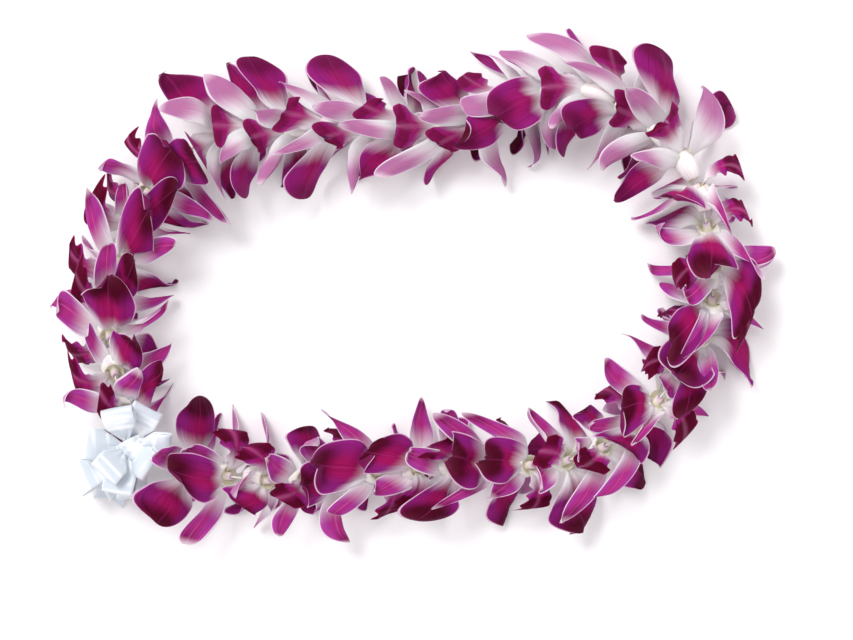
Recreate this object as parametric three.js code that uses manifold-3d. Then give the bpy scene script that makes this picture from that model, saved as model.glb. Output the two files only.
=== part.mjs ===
// A fresh flower lei: dendrobium blooms threaded one behind the other on a closed string, which lies on
// a flat surface, with a white ribbon bow tied on the string. Millimetres, +Z up, the surface is z = 0.
//
// Every bloom is worked out in strand coordinates: s along the string, x outwards from the loop and z up
// from the string. Its blades spread along a sheet round its tube, which opens like a funnel and leans one
// way along the string. Each bloom keeps between the two sheets halfway to its neighbours', so the blooms
// nest like the real ones and never cross.

import * as THREE from 'three';
import { mergeVertices } from 'three/addons/utils/BufferGeometryUtils.js';
import Module from 'manifold-3d';

const wasm = await Module();
wasm.setup();

// ---- driving dimensions

const degrees = THREE.MathUtils.degToRad;

const STRING_HEIGHT = 24;
const STRING_RADIUS = 0.6;
const STRING_SIDES = 3;
const STRING_STEPS = 52;

const BLOOM_COUNT = 42;
const BOW_GAP = 56; // along the string, between the last bloom and the first
const MEETING_GAP = 34; // between the two blooms that lean to each other at the top left corner
const PARTING_GAP = 22; // between the two blooms that lean apart at the top right corner
const FIRST_LEANING_BACK = 8; // the blooms from this number on lean back towards the first
const FIRST_LEANING_ON = 22; // and those from this number on lean on again
const FACING = -1; // every bloom's front faces back along the string, to the bloom before it

// A bloom's blades. "at" is where they stand round the bloom, from its upper sepal on. "broadening" and
// "narrowing" shape the outline, and "waist" takes some of its width away halfway along. "root" is how far
// forward of the sheet they start, "rise" is how they stand there, "curl" is how they bend on from there
// and "tip" how their last part does. "twist" turns them about their middle line and "turn" does so more
// towards the tip, "sway" bends them sideways, and "cup", in radians, and "wave" are across them. A pair is
// a middle value and how far a draw takes it either way, and the other angles are in degrees.
const SEPAL = {
  at: [0, 130, -130], length: 48, halfWidth: 9.2, broadening: 0.6, narrowing: 0.6, waist: 0,
  root: -1.8, rise: [-8, 14], curl: [26, 90], tip: [20, 120], twist: [0, 40], turn: [0, 110],
  sway: [0, 11], cup: [0.5, 1.9], wave: 2.2, ripple: 5, stray: 16, draw: 10,
  rows: 4, columns: 3, thickness: 1.5,
};
const PETAL = {
  at: [68, -68], length: 47, halfWidth: 18.5, broadening: 1.1, narrowing: 0.5, waist: 0,
  root: 0.6, rise: [6, 12], curl: [18, 65], tip: [-30, 90], twist: [0, 35], turn: [0, 60],
  sway: [0, 7], cup: [0.2, 1.3], wave: 5.5, ripple: 6, stray: 16, draw: 60,
  rows: 5, columns: 4, thickness: 1.5,
};
const LIP = {
  at: [180], length: 34, halfWidth: 14.5, broadening: 0.9, narrowing: 0.28, waist: 0.3,
  root: 0.8, rise: [36, 0], curl: [-55, 15], tip: [-40, 0], twist: [0, 15], turn: [0, 10],
  sway: [0, 0], cup: [0.7, 0.3], wave: 3, ripple: 9, stray: 0, draw: 110,
  rows: 4, columns: 4, thickness: 1.4,
};
const SIZE_SPREAD = 0.06; // how far a bloom's size strays from the middle size
const PLACE_SPREAD = 1.2; // and how far its place on the string does

// Where each bloom's upper sepal points, in degrees from straight up towards the outside of the loop.
const ROLLS = [
  215, 268, 292, 246, 280, 262, 300, 285,
  170, 195, 160, 205, 150, 215, 175, 140, 252, 288, 185, 262, 165, 190,
  258, 282, 110, 252, 62, 118, 260, 80, 200, 150, 275, 60, 135, 250, 285, 75, 215, 120, 95, 350,
];

const ROOT_RADIUS = 1.9; // where the blades start, inside the bloom's tube
const ROW_SPACING = 1.25; // rows of a blade's points lie closer towards its tip
const LEAN = 0.9; // how far a sheet leans for each millimetre of height
const LEAN_MORE = 0.024; // and how much it bends over, for each square millimetre of height
const LEAN_FLOOR = -10; // below this height a sheet stands upright
const LEAN_ROUNDING = 6;
const BLADE_MIDDLE = 18; // the height of the middle of a blade that points up
const SWEEP = 0.4; // how far a sheet is swept the way it leans for each millimetre sideways, further out
const SWEEP_ROUNDING = 12;
const FUNNEL_DEPTH = 7; // how far the sheet opens out to the bloom's front
const FUNNEL_REACH = 6; // and how soon, going out from the string
const FACE_UP = degrees(34); // blades at the side are turned to show from above
const LIP_FOLD = degrees(30); // lips fold back this much more on blooms that lean on, less on the others
const CURL_GROWTH = 1.5; // blades bend more towards their tips
const TIP_FROM = 0.6; // where a blade's last part starts
const WAIST_AT = 0.5; // where the lip's waist is along it
const WAIST_LENGTH = 0.13;
const MIDLINE_STEPS = 4; // for each row of a blade's points
const CLEARANCE = 2.6; // kept to the middle sheet between two blooms
const OPEN_ROOM = 9; // the room that a bloom has where none stands beside it
const LEAST_ROOM = 0.5;
const FLOOR_BEND = 3; // petals bend along the surface below this height
const FLOOR_PUSH = 0.4; // and are pushed along this far for each millimetre they would go below it
const FLOOR_REST = 0.05; // height of the middle of a petal that lies on the surface
const FLAT_BELOW = 0.45; // points lower than this lie on the surface

// The string's route, seen from above, clockwise from the bow: the control points of a closed curve.
const ROUTE = [
  [-163, -96], [-175, -62], [-181, -28], [-179, 5], [-169, 37], [-152, 68], [-121, 92], [-88, 96],
  [-55, 98], [-22, 99], [10, 96], [37, 100], [63, 113], [93, 122], [122, 114], [150, 96], [171, 70],
  [179, 38], [184, 6], [181, -20], [164, -49], [143, -76], [117, -98], [83, -107], [48, -106],
  [13, -107], [-22, -110], [-57, -115], [-92, -116], [-127, -110],
];
const ROUTE_CENTRE = [1.5, 0.6]; // brings the middle of the whole lei to the origin

// ---- the string's route

function routePoint(t) {
  // a uniform cubic B-spline
  const n = ROUTE.length;
  const k = Math.floor(t);
  const f = t - k;
  const weights = [
    (1 - f) ** 3 / 6,
    (3 * f ** 3 - 6 * f ** 2 + 4) / 6,
    (-3 * f ** 3 + 3 * f ** 2 + 3 * f + 1) / 6,
    f ** 3 / 6,
  ];
  let x = -ROUTE_CENTRE[0];
  let y = -ROUTE_CENTRE[1];
  weights.forEach((weight, j) => {
    const p = ROUTE[(k + j - 1 + n) % n];
    x += weight * p[0];
    y += weight * p[1];
  });
  return [x, y];
}

const ROUTE_SAMPLES = 1200;
const routeTable = [];
let routeLength = 0;
for (let i = 0; i <= ROUTE_SAMPLES; i++) {
  const p = routePoint((i / ROUTE_SAMPLES) * ROUTE.length);
  if (i > 0) {
    const q = routeTable[i - 1];
    routeLength += Math.hypot(p[0] - q.x, p[1] - q.y);
  }
  routeTable.push({ s: routeLength, x: p[0], y: p[1] });
}

function onRoute(s) {
  // the point at arc length s
  const at = ((s % routeLength) + routeLength) % routeLength;
  let low = 0;
  let high = ROUTE_SAMPLES;
  while (high - low > 1) {
    const middle = (low + high) >> 1;
    if (routeTable[middle].s <= at) low = middle;
    else high = middle;
  }
  const a = routeTable[low];
  const b = routeTable[high];
  const f = (at - a.s) / (b.s - a.s);
  return [a.x + f * (b.x - a.x), a.y + f * (b.y - a.y)];
}

const DIRECTION_REACH = 4; // the string's direction is taken over this length each way

function strandToWorld(s, x, height) {
  const [px, py] = onRoute(s);
  const [ax, ay] = onRoute(s - DIRECTION_REACH);
  const [bx, by] = onRoute(s + DIRECTION_REACH);
  const length = Math.hypot(bx - ax, by - ay);
  // outwards is to the left of the clockwise route
  return [px - (x * (by - ay)) / length, py + (x * (bx - ax)) / length, height];
}

// ---- a bloom's room

function noise(i, k) {
  // a repeatable draw from 0 to 1
  const v = Math.sin(i * 12.9898 + k * 78.233) * 43758.5453;
  return v - Math.floor(v);
}

function spread(i, k, amount) {
  return (2 * noise(i, k) - 1) * amount;
}

function smoothMax(value, floor, softness) {
  return floor + 0.5 * (value - floor + Math.sqrt((value - floor) ** 2 + softness ** 2));
}

function bentHeight(height) {
  if (height >= FLOOR_BEND) return height;
  const room = FLOOR_BEND - FLOOR_REST;
  return FLOOR_REST + room * Math.exp((height - FLOOR_BEND) / room);
}

function leaning(x, z) {
  // how far along the string a fully leaning sheet has gone from its bloom's middle
  const lost = bentHeight(STRING_HEIGHT + z) - (STRING_HEIGHT + z);
  const leant = smoothMax(z, LEAN_FLOOR, LEAN_ROUNDING) - smoothMax(0, LEAN_FLOOR, LEAN_ROUNDING);
  const bentOver = LEAN * leant + LEAN_MORE * Math.max(leant, 0) ** 2;
  const swept = SWEEP * (Math.hypot(x, SWEEP_ROUNDING) - SWEEP_ROUNDING);
  return bentOver + swept + FLOOR_PUSH * lost;
}

function funnel(x, z) {
  return FUNNEL_DEPTH * (1 - Math.exp(-Math.hypot(x, z) / FUNNEL_REACH));
}

function sheetPlace(bloom, x, z) {
  return bloom.s + bloom.lean * leaning(x, z) + FACING * funnel(x, z);
}

function leansBack(i) {
  return i >= FIRST_LEANING_BACK && i < FIRST_LEANING_ON;
}

// Blooms stand upright instead of leaning, and are cupped, where two of them lean to each other. They
// lean less where two lean apart, and before the bow. The reach is in blooms.
const MEETING = { reach: 1.6, upright: 0.8, cupping: 8 };
const PARTING = { reach: 1.2, upright: 0.8 };
const BEFORE_BOW = { reach: 1, upright: 0.5 };

function nearness(i, place, reach) {
  return Math.exp(-(((i + 0.5 - place) / reach) ** 2));
}

function placeBlooms() {
  const pitches = BLOOM_COUNT - 3; // the gaps at the bow and at the two upper corners have their own sizes
  const pitch = (routeLength - BOW_GAP - MEETING_GAP - PARTING_GAP) / pitches;
  const placed = [];
  let s = BOW_GAP / 2;
  for (let i = 0; i < BLOOM_COUNT; i++) {
    if (i === FIRST_LEANING_BACK) s += MEETING_GAP - pitch;
    if (i === FIRST_LEANING_ON) s += PARTING_GAP - pitch;
    const leans = leansBack(i) ? -1 : 1;
    const meeting = nearness(i, FIRST_LEANING_BACK, MEETING.reach);
    const parting = nearness(i, FIRST_LEANING_ON, PARTING.reach);
    const beforeBow = Math.exp((i + 1 - BLOOM_COUNT) / BEFORE_BOW.reach);
    const upright = MEETING.upright * meeting + PARTING.upright * parting + BEFORE_BOW.upright * beforeBow;
    placed.push({
      index: i,
      s: s + spread(i, 1, PLACE_SPREAD),
      lean: leans * (1 - upright),
      roll: degrees(ROLLS[i]),
      cupping: degrees(MEETING.cupping * meeting),
      faceUp: FACE_UP * leans * FACING * (1 + meeting),
      size: 1 + spread(i, 2, SIZE_SPREAD),
    });
    s += pitch;
  }
  return placed;
}

const blooms = placeBlooms();

function roomAt(bloom, x, z, side) {
  // the room along the string on one side (+1 further on, -1 further back) of a bloom's sheet
  const other = blooms[bloom.index + side];
  if (!other) return OPEN_ROOM;
  const distance = side * (sheetPlace(other, x, z) - sheetPlace(bloom, x, z));
  return Math.max(distance / 2 - CLEARANCE, LEAST_ROOM);
}

function bloomToWorld(bloom, ahead, x, z) {
  // ahead is how far a point would stand forward of its bloom's sheet, if it had all the room it liked
  const wanted = FACING * ahead;
  const room = roomAt(bloom, x, z, Math.sign(wanted) || 1);
  const along = room * Math.tanh(wanted / room);
  return strandToWorld(sheetPlace(bloom, x, z) + along, x, bentHeight(STRING_HEIGHT + z));
}

// ---- solids

function toSolid(vertices, triangles) {
  const build = (faces) => new wasm.Manifold(new wasm.Mesh({
    numProp: 3,
    vertProperties: new Float32Array(vertices.flat()),
    triVerts: new Uint32Array(faces.flat()),
  }));
  const solid = build(triangles);
  if (solid.volume() > 0) return solid;
  return build(triangles.map(([a, b, c]) => [a, c, b])); // the faces pointed in
}

function inThrees(list) {
  const threes = [];
  for (let i = 0; i < list.length; i += 3) threes.push([list[i], list[i + 1], list[i + 2]]);
  return threes;
}

function sub(a, b) {
  return [a[0] - b[0], a[1] - b[1], a[2] - b[2]];
}

function cross(a, b) {
  return [a[1] * b[2] - a[2] * b[1], a[2] * b[0] - a[0] * b[2], a[0] * b[1] - a[1] * b[0]];
}

function bladeSolid(grid, thickness) {
  // grid[row][column] is the blade's middle surface. Its first row, the root, and its last, the tip, are
  // one point each. The blade is thickest along its middle and sharp at its rims, and both faces are
  // split into triangles alike.
  const rows = grid.length;
  const columns = grid[0].length;
  const vertices = [];
  const front = [];
  const back = [];
  const addVertex = ([x, y, z]) => vertices.push([x, y, z < FLAT_BELOW ? 0 : z]) - 1;
  grid.forEach((row, i) => {
    const end = i === 0 || i === rows - 1;
    const rim = end ? [addVertex(row[0])] : [addVertex(row[0]), addVertex(row[columns - 1])];
    front.push([]);
    back.push([]);
    row.forEach((p, j) => {
      if (end || j === 0 || j === columns - 1) {
        const shared = j === 0 || end ? rim[0] : rim[1];
        front[i].push(shared);
        back[i].push(shared);
        return;
      }
      const along = sub(grid[i + 1][j], grid[i - 1][j]);
      const across = sub(row[j + 1], row[j - 1]);
      const normal = cross(along, across);
      const off = (thickness * 0.5) / Math.hypot(...normal);
      front[i].push(addVertex(p.map((value, k) => value + off * normal[k])));
      back[i].push(addVertex(p.map((value, k) => value - off * normal[k])));
    });
  });
  const triangles = [];
  for (let i = 0; i < rows - 1; i++) {
    for (let j = 0; j < columns - 1; j++) {
      for (const face of [front, back]) {
        const quad = [face[i][j], face[i + 1][j], face[i + 1][j + 1], face[i][j + 1]];
        for (const [p, q, r] of [[0, 1, 2], [0, 2, 3]]) {
          const t = [quad[p], quad[q], quad[r]];
          if (new Set(t).size < 3) continue;
          triangles.push(face === front ? t : t.reverse());
        }
      }
    }
  }
  return toSolid(vertices, triangles);
}

// ---- a bloom

// The tube round the string, from the spur's end to the mouth, into the throat and along the column: its
// radius, how far ahead of the bloom's middle it is, and how far it bulges to the lip.
const TUBE_PROFILE = [
  [1.6, -9.5, 0], [3.2, -10.2, 0.8], [7, -1.5, 1.4], [6.7, 5.6, 0.1], [2.6, 4.2, 0], [1.6, 7.5, 0],
];
const TUBE_SIDES = 5;
const SPUR_END = -10; // here a tube doesn't lean,
const MOUTH = 5.6; // and from there to here it leans more and more, at last as much as the blades

function outline(kind, u) {
  // half the blade's width at u along it, as a share of the most
  const widest = kind.broadening / (kind.broadening + kind.narrowing);
  const plain = (u / widest) ** kind.broadening * ((1 - u) / (1 - widest)) ** kind.narrowing;
  return plain * (1 - kind.waist * Math.exp(-(((u - WAIST_AT) / WAIST_LENGTH) ** 2)));
}

function bladeShape(bloom, kind, k) {
  // blade number k of its kind. Its azimuth is from straight up towards the outside of the loop.
  const drawNumber = (property) => kind.draw + 10 * property + k;
  const draw = ([middle, range], property) => (
    middle + spread(bloom.index, drawNumber(property), range)
  );
  const seldomFar = ([middle, range], property) => {
    const stray = spread(bloom.index, drawNumber(property), 1);
    return middle + range * stray * Math.abs(stray);
  };
  const closing = kind === LIP ? 0 : bloom.cupping;
  const folding = kind === LIP ? LIP_FOLD * bloom.lean : 0;
  return {
    rise: closing + degrees(draw(kind.rise, 0)),
    curl: degrees(draw(kind.curl, 1)) - folding,
    twist: degrees(draw(kind.twist, 2)),
    cup: seldomFar(kind.cup, 3),
    azimuth: bloom.roll + degrees(draw([kind.at[k], kind.stray], 4)),
    turn: degrees(seldomFar(kind.turn, 5)),
    sway: draw(kind.sway, 14),
    tip: degrees(seldomFar(kind.tip, 17)),
    phase: 2 * Math.PI * noise(bloom.index, drawNumber(30)),
  };
}

function rowPlace(share) {
  return 1 - (1 - share) ** ROW_SPACING;
}

function midline(kind, shape, length) {
  // row by row: u along the blade, how far out from the string it is and how far ahead of the sheet
  let radius = ROOT_RADIUS;
  let ahead = kind.root;
  const line = [{ u: 0, radius, ahead }];
  const steps = kind.rows * MIDLINE_STEPS;
  for (let i = 1; i <= steps; i++) {
    const before = rowPlace((i - 1) / steps);
    const u = rowPlace(i / steps);
    const middle = (before + u) / 2;
    const inTip = Math.max((middle - TIP_FROM) / (1 - TIP_FROM), 0);
    const tilt = shape.rise + shape.curl * middle ** CURL_GROWTH + shape.tip * inTip ** 2;
    radius += length * (u - before) * Math.cos(tilt);
    ahead += length * (u - before) * Math.sin(tilt);
    if (i % MIDLINE_STEPS === 0) line.push({ u, radius, ahead });
  }
  return line;
}

function chordShare(angle) {
  // the length of an arc's chord as a share of the arc, whose two ends are each turned by the angle
  return angle === 0 ? 1 : Math.sin(angle) / angle;
}

function bladeGrid(bloom, kind, shape) {
  const c = Math.cos(shape.azimuth);
  const s = Math.sin(shape.azimuth);
  const up = Math.max(c, 0);
  const slope = LEAN + 2 * LEAN_MORE * BLADE_MIDDLE * up;
  const slopeOut = slope * up + SWEEP * Math.abs(s);
  const length = (kind.length * bloom.size) / Math.hypot(1, slopeOut * bloom.lean);
  const halfWidth = (kind.halfWidth * bloom.size) / Math.hypot(1, slope * s * bloom.lean);
  return midline(kind, shape, length).map(({ u, radius, ahead }) => {
    const width = halfWidth * outline(kind, u);
    const twist = (shape.twist - bloom.faceUp * s) * Math.min(1, 2 * u) + shape.turn * u * u;
    const row = [];
    for (let j = 0; j < kind.columns; j++) {
      const v = (2 * j) / (kind.columns - 1) - 1;
      // the section is an arc, rolled by the cup at each rim
      const rolled = shape.cup * v * Math.min(1, 2 * u);
      const across = v * width * chordShare(rolled);
      const cupped = v * width * Math.sin(rolled / 2) * chordShare(rolled / 2);
      const waved = kind.wave * Math.sin(kind.ripple * u + 2 * v + shape.phase) * u * v * v;
      const sideways = across * Math.cos(twist) + shape.sway * u * u;
      const x = radius * s + sideways * c;
      const z = radius * c - sideways * s;
      row.push(bloomToWorld(bloom, ahead + cupped + waved + across * Math.sin(twist), x, z));
    }
    return row;
  });
}

function ringSolid(count, sides, pointAt) {
  // a ring-shaped body: count rings of points, the last joined to the first
  const vertices = [];
  const triangles = [];
  for (let i = 0; i < count; i++) {
    for (let k = 0; k < sides; k++) {
      vertices.push(pointAt(i, (2 * Math.PI * k) / sides));
      const next = (k + 1) % sides;
      const row = i * sides;
      const above = ((i + 1) % count) * sides;
      triangles.push([row + k, row + next, above + next], [row + k, above + next, above + k]);
    }
  }
  return toSolid(vertices, triangles);
}

function tubeSolid(bloom) {
  // the bloom's tube round the string, with the blunt spur bulging below the lip
  const lip = bloom.roll + Math.PI;
  return ringSolid(TUBE_PROFILE.length, TUBE_SIDES, (i, angle) => {
    const [radius, ahead, bulge] = TUBE_PROFILE[i];
    const x = radius * Math.sin(angle) + bulge * Math.sin(lip);
    const z = radius * Math.cos(angle) + bulge * Math.cos(lip);
    const share = THREE.MathUtils.clamp((ahead - SPUR_END) / (MOUTH - SPUR_END), 0, 1);
    const s = bloom.s + FACING * ahead + bloom.lean * leaning(x, z) * share;
    return strandToWorld(s, x, STRING_HEIGHT + z);
  });
}

function bloomSolid(bloom) {
  const parts = [tubeSolid(bloom)];
  for (const kind of [SEPAL, PETAL, LIP]) {
    kind.at.forEach((_, k) => {
      const grid = bladeGrid(bloom, kind, bladeShape(bloom, kind, k));
      parts.push(bladeSolid(grid, kind.thickness));
    });
  }
  return wasm.Manifold.union(parts);
}

// ---- the ribbon bow

const RIBBON_WIDTH = 19;
const RIBBON_THICKNESS = 0.7;
const LOOP_STEPS = 6;
const LOOP_ROOT = 4.2; // the loops start this far from the bow's centre
const ROOT_WIDTH = 0.2; // the ribbon is gathered to this share of its width there
const SPREADING = 1.6; // and spreads out at this rate along the loop
const TAIL_PLACES = [[0, 0], [0.3, 1], [0.65, -2], [1, 0]];
const BOW_CENTRE = new THREE.Vector3(...strandToWorld(4, 8, STRING_HEIGHT + 6));
const HUB_RADIUS = 5;

// The ribbon wound round the string under the bow: its radius and its place along the string.
const KNOT_PROFILE = [[2, -6], [5, -6], [6.5, 0], [5, 6], [2, 6]];
const KNOT_SIDES = 6;

// Headings are counterclockwise from +X, and pitch is up from level. The upper loops come first.
const LOOPS = [
  { heading: 105, pitch: 24, roll: -6, length: 22, opening: 6 },
  { heading: 230, pitch: 34, roll: -6, length: 21, opening: 6 },
  { heading: 320, pitch: 24, roll: 12, length: 17, opening: 5 },
  { heading: 258, pitch: 10, roll: 4, length: 25, opening: 6 },
  { heading: 176, pitch: 10, roll: 8, length: 24, opening: 5 },
  { heading: 356, pitch: 6, roll: 14, length: 22, opening: 5 },
  { heading: 214, pitch: -14, roll: 6, length: 37, opening: 6 },
  { heading: 272, pitch: -26, roll: -4, length: 31, opening: 5 },
  { heading: 62, pitch: 0, roll: 10, length: 22, opening: 4 },
];
const TAILS = [
  { heading: 234, pitch: -34, roll: 8, length: 38 },
  { heading: 247, pitch: -36, roll: -6, length: 44 },
];

function ribbonSolid(path) {
  // path is a list of { middle, across, normal }: a flat strip's middle line, with half its width
  const vertices = [];
  const triangles = [];
  path.forEach(({ middle, across, normal }, i) => {
    for (const [a, n] of [[-1, -1], [1, -1], [1, 1], [-1, 1]]) {
      const corner = middle.clone().addScaledVector(across, a);
      corner.addScaledVector(normal, (n * RIBBON_THICKNESS) / 2);
      vertices.push(corner.toArray());
    }
    if (i === 0) return;
    const low = 4 * (i - 1);
    for (let k = 0; k < 4; k++) {
      const next = (k + 1) % 4;
      triangles.push([low + k, low + next, low + 4 + next], [low + k, low + 4 + next, low + 4 + k]);
    }
  });
  const last = 4 * (path.length - 1);
  triangles.push([0, 2, 1], [0, 3, 2], [last, last + 1, last + 2], [last, last + 2, last + 3]);
  return toSolid(vertices, triangles);
}

function ribbonPath(loop, places) {
  // places is the strip's middle line as [share of the length, rise], in the loop's own upright plane
  const turn = new THREE.Matrix4().makeRotationZ(degrees(loop.heading));
  turn.multiply(new THREE.Matrix4().makeRotationY(degrees(-loop.pitch)));
  turn.multiply(new THREE.Matrix4().makeRotationX(degrees(loop.roll)));
  const points = places.map(([share, rise]) => (
    new THREE.Vector3(LOOP_ROOT + share * loop.length, 0, rise)
  ));
  return points.map((point, i) => {
    const after = points[Math.min(i + 1, points.length - 1)];
    const tangent = after.clone().sub(points[Math.max(i - 1, 0)]).normalize();
    const normal = new THREE.Vector3(-tangent.z, 0, tangent.x);
    const gather = Math.min(1, ROOT_WIDTH + SPREADING * places[i][0]);
    return {
      middle: point.clone().applyMatrix4(turn).add(BOW_CENTRE),
      across: new THREE.Vector3(0, (RIBBON_WIDTH / 2) * gather, 0).applyMatrix4(turn),
      normal: normal.applyMatrix4(turn),
    };
  });
}

function loopSolid(loop) {
  const places = [];
  for (let i = 0; i <= LOOP_STEPS; i++) {
    const angle = (2 * Math.PI * i) / LOOP_STEPS;
    const share = (1 - Math.cos(angle)) / 2;
    places.push([share, loop.opening * Math.sin(angle) * share]);
  }
  return ribbonSolid(ribbonPath(loop, places));
}

function tailSolid(tail) {
  return ribbonSolid(ribbonPath(tail, TAIL_PLACES));
}

function knotSolid() {
  return ringSolid(KNOT_PROFILE.length, KNOT_SIDES, (i, angle) => {
    const [radius, along] = KNOT_PROFILE[i];
    return strandToWorld(along, radius * Math.sin(angle), STRING_HEIGHT + radius * Math.cos(angle));
  });
}

function hubSolid() {
  // where the loops are gathered
  const ball = new THREE.IcosahedronGeometry(HUB_RADIUS, 0);
  ball.deleteAttribute('normal');
  ball.deleteAttribute('uv');
  ball.translate(...BOW_CENTRE);
  const { attributes, index } = mergeVertices(ball);
  return toSolid(inThrees(attributes.position.array), inThrees(index.array));
}

function bowSolid() {
  return wasm.Manifold.union([knotSolid(), hubSolid(), ...LOOPS.map(loopSolid), ...TAILS.map(tailSolid)]);
}

// ---- the string

function stringSolid() {
  return ringSolid(STRING_STEPS, STRING_SIDES, (i, angle) => strandToWorld(
    (routeLength * i) / STRING_STEPS,
    STRING_RADIUS * Math.sin(angle),
    STRING_HEIGHT + STRING_RADIUS * Math.cos(angle),
  ));
}

// ---- the scene

function toMesh(name, solid, material) {
  const { vertProperties, triVerts, numProp } = solid.getMesh();
  const positions = [];
  for (let i = 0; i < vertProperties.length; i += numProp) {
    positions.push(vertProperties[i], vertProperties[i + 1], vertProperties[i + 2]);
  }
  const geometry = new THREE.BufferGeometry();
  geometry.setAttribute('position', new THREE.Float32BufferAttribute(positions, 3));
  geometry.setIndex([...triVerts]);
  const mesh = new THREE.Mesh(geometry, material);
  mesh.name = name;
  return mesh;
}

const ribbonMaterial = new THREE.MeshStandardMaterial({ color: 0xf2f5f8, roughness: 0.3, metalness: 0 });
const petalMaterial = new THREE.MeshStandardMaterial({ color: 0x8a1a5c, roughness: 0.55, metalness: 0 });
const stringMaterial = new THREE.MeshStandardMaterial({ color: 0xf4f2ee, roughness: 0.8, metalness: 0 });

const group = new THREE.Group();
group.add(toMesh('string', stringSolid(), stringMaterial));
group.add(toMesh('ribbon_bow', bowSolid(), ribbonMaterial));
for (const bloom of blooms) {
  const number = String(bloom.index + 1).padStart(2, '0');
  group.add(toMesh(`bloom_${number}`, bloomSolid(bloom), petalMaterial));
}

export default group;
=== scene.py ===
"""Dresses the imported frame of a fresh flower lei: dendrobium blooms on a string, tied with a ribbon bow.

The lei lies flat and is seen from straight above. Each CAD bloom is replaced by one finer bloom, worked
out with the same rules in the same strand coordinates: s along the string, x outwards from the loop and
z up from the string. A bloom's blades spread along a sheet round its tube, which opens like a funnel and
leans one way along the string, and keep between the sheets halfway to its neighbours', so that the blooms
nest closely. Shapes are worked out in millimetres and turned into metres when a mesh is made.
"""

import math
from types import SimpleNamespace

import bpy
import numpy as np
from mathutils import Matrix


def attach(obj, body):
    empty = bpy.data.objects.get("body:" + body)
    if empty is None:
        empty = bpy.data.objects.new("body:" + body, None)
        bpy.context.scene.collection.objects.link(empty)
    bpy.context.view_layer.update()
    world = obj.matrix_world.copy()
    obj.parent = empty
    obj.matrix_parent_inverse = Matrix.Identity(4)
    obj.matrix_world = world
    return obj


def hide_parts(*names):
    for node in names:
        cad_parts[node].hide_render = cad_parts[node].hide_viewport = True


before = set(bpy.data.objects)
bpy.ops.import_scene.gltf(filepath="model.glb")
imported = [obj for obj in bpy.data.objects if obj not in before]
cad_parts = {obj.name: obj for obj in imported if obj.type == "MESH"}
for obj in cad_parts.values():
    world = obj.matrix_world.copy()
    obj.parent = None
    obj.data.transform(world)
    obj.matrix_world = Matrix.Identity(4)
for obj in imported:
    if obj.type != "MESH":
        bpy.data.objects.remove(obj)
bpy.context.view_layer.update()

MM = 0.001

# ---- driving dimensions, in millimetres and degrees, as in the CAD model

STRING_HEIGHT = 24
STRING_RADIUS = 0.6
# the string's route, seen from above, clockwise from the bow: the control points of a closed curve
ROUTE = np.array([
    (-163, -96), (-175, -62), (-181, -28), (-179, 5), (-169, 37), (-152, 68), (-121, 92), (-88, 96),
    (-55, 98), (-22, 99), (10, 96), (37, 100), (63, 113), (93, 122), (122, 114), (150, 96), (171, 70),
    (179, 38), (184, 6), (181, -20), (164, -49), (143, -76), (117, -98), (83, -107), (48, -106),
    (13, -107), (-22, -110), (-57, -115), (-92, -116), (-127, -110),
], float)
ROUTE_CENTRE = np.array((1.5, 0.6))  # brings the middle of the whole lei to the origin
ROUTE_SAMPLES = 1200
DIRECTION_REACH = 4  # the string's direction is taken over this length each way

BLOOM_COUNT = 42
BOW_GAP = 56  # along the string, between the last bloom and the first
MEETING_GAP = 34  # between the two blooms that lean to each other at the top left corner
PARTING_GAP = 22  # between the two blooms that lean apart at the top right corner
FIRST_LEANING_BACK = 8  # the blooms from this number on lean back towards the first
FIRST_LEANING_ON = 22  # and those from this number on lean on again
FACING = -1  # every bloom's front faces back along the string, to the bloom before it
# how many blooms away a meeting or parting is felt, and how upright and closed it makes them
MEETING_REACH = 1.6
MEETING_UPRIGHT = 0.8
MEETING_CUPPING = 8
PARTING_REACH = 1.2
PARTING_UPRIGHT = 0.8
BEFORE_BOW_UPRIGHT = 0.5
SIZE_SPREAD = 0.06  # how far a bloom's size strays from the middle size
PLACE_SPREAD = 1.2  # and how far its place on the string does
# where each bloom's upper sepal points, from straight up towards the outside of the loop
ROLLS = (
    215, 268, 292, 246, 280, 262, 300, 285,
    170, 195, 160, 205, 150, 215, 175, 140, 252, 288, 185, 262, 165, 190,
    258, 282, 110, 252, 62, 118, 260, 80, 200, 150, 275, 60, 135, 250, 285, 75, 215, 120, 95, 350,
)

ROOT_RADIUS = 1.9  # where the blades start, inside the bloom's tube
LEAN = 0.9  # how far a sheet leans for each millimetre of height
LEAN_MORE = 0.024  # and how much it bends over, for each square millimetre of height
BLADE_MIDDLE = 18  # the height of the middle of a blade that points up
LEAN_FLOOR = -10  # below this height a sheet stands upright
LEAN_ROUNDING = 6
SWEEP = 0.4  # how far a sheet is swept the way it leans for each millimetre sideways
SWEEP_ROUNDING = 12
FUNNEL_DEPTH = 7  # how far the sheet opens out to the bloom's front
FUNNEL_REACH = 6  # and how soon, going out from the string
FACE_UP = math.radians(34)  # blades at the side are turned to show from above
LIP_FOLD = math.radians(30)  # lips fold back this much more on blooms that lean on, less on the others
CURL_GROWTH = 1.5  # blades bend more towards their tips
TIP_FROM = 0.6  # where a blade's last part starts
WAIST_AT = 0.5  # where the lip's waist is along it
WAIST_LENGTH = 0.13
CLEARANCE = 2.6  # kept to the middle sheet between two blooms
OPEN_ROOM = 9.0  # the room that a bloom has where none stands beside it
LEAST_ROOM = 0.5
FLOOR_BEND = 3  # petals bend along the surface below this height
FLOOR_PUSH = 0.4  # and are pushed along this far for each millimetre they would go below it
FLOOR_REST = 0.05  # height of the middle of a petal that lies on the surface

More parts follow.
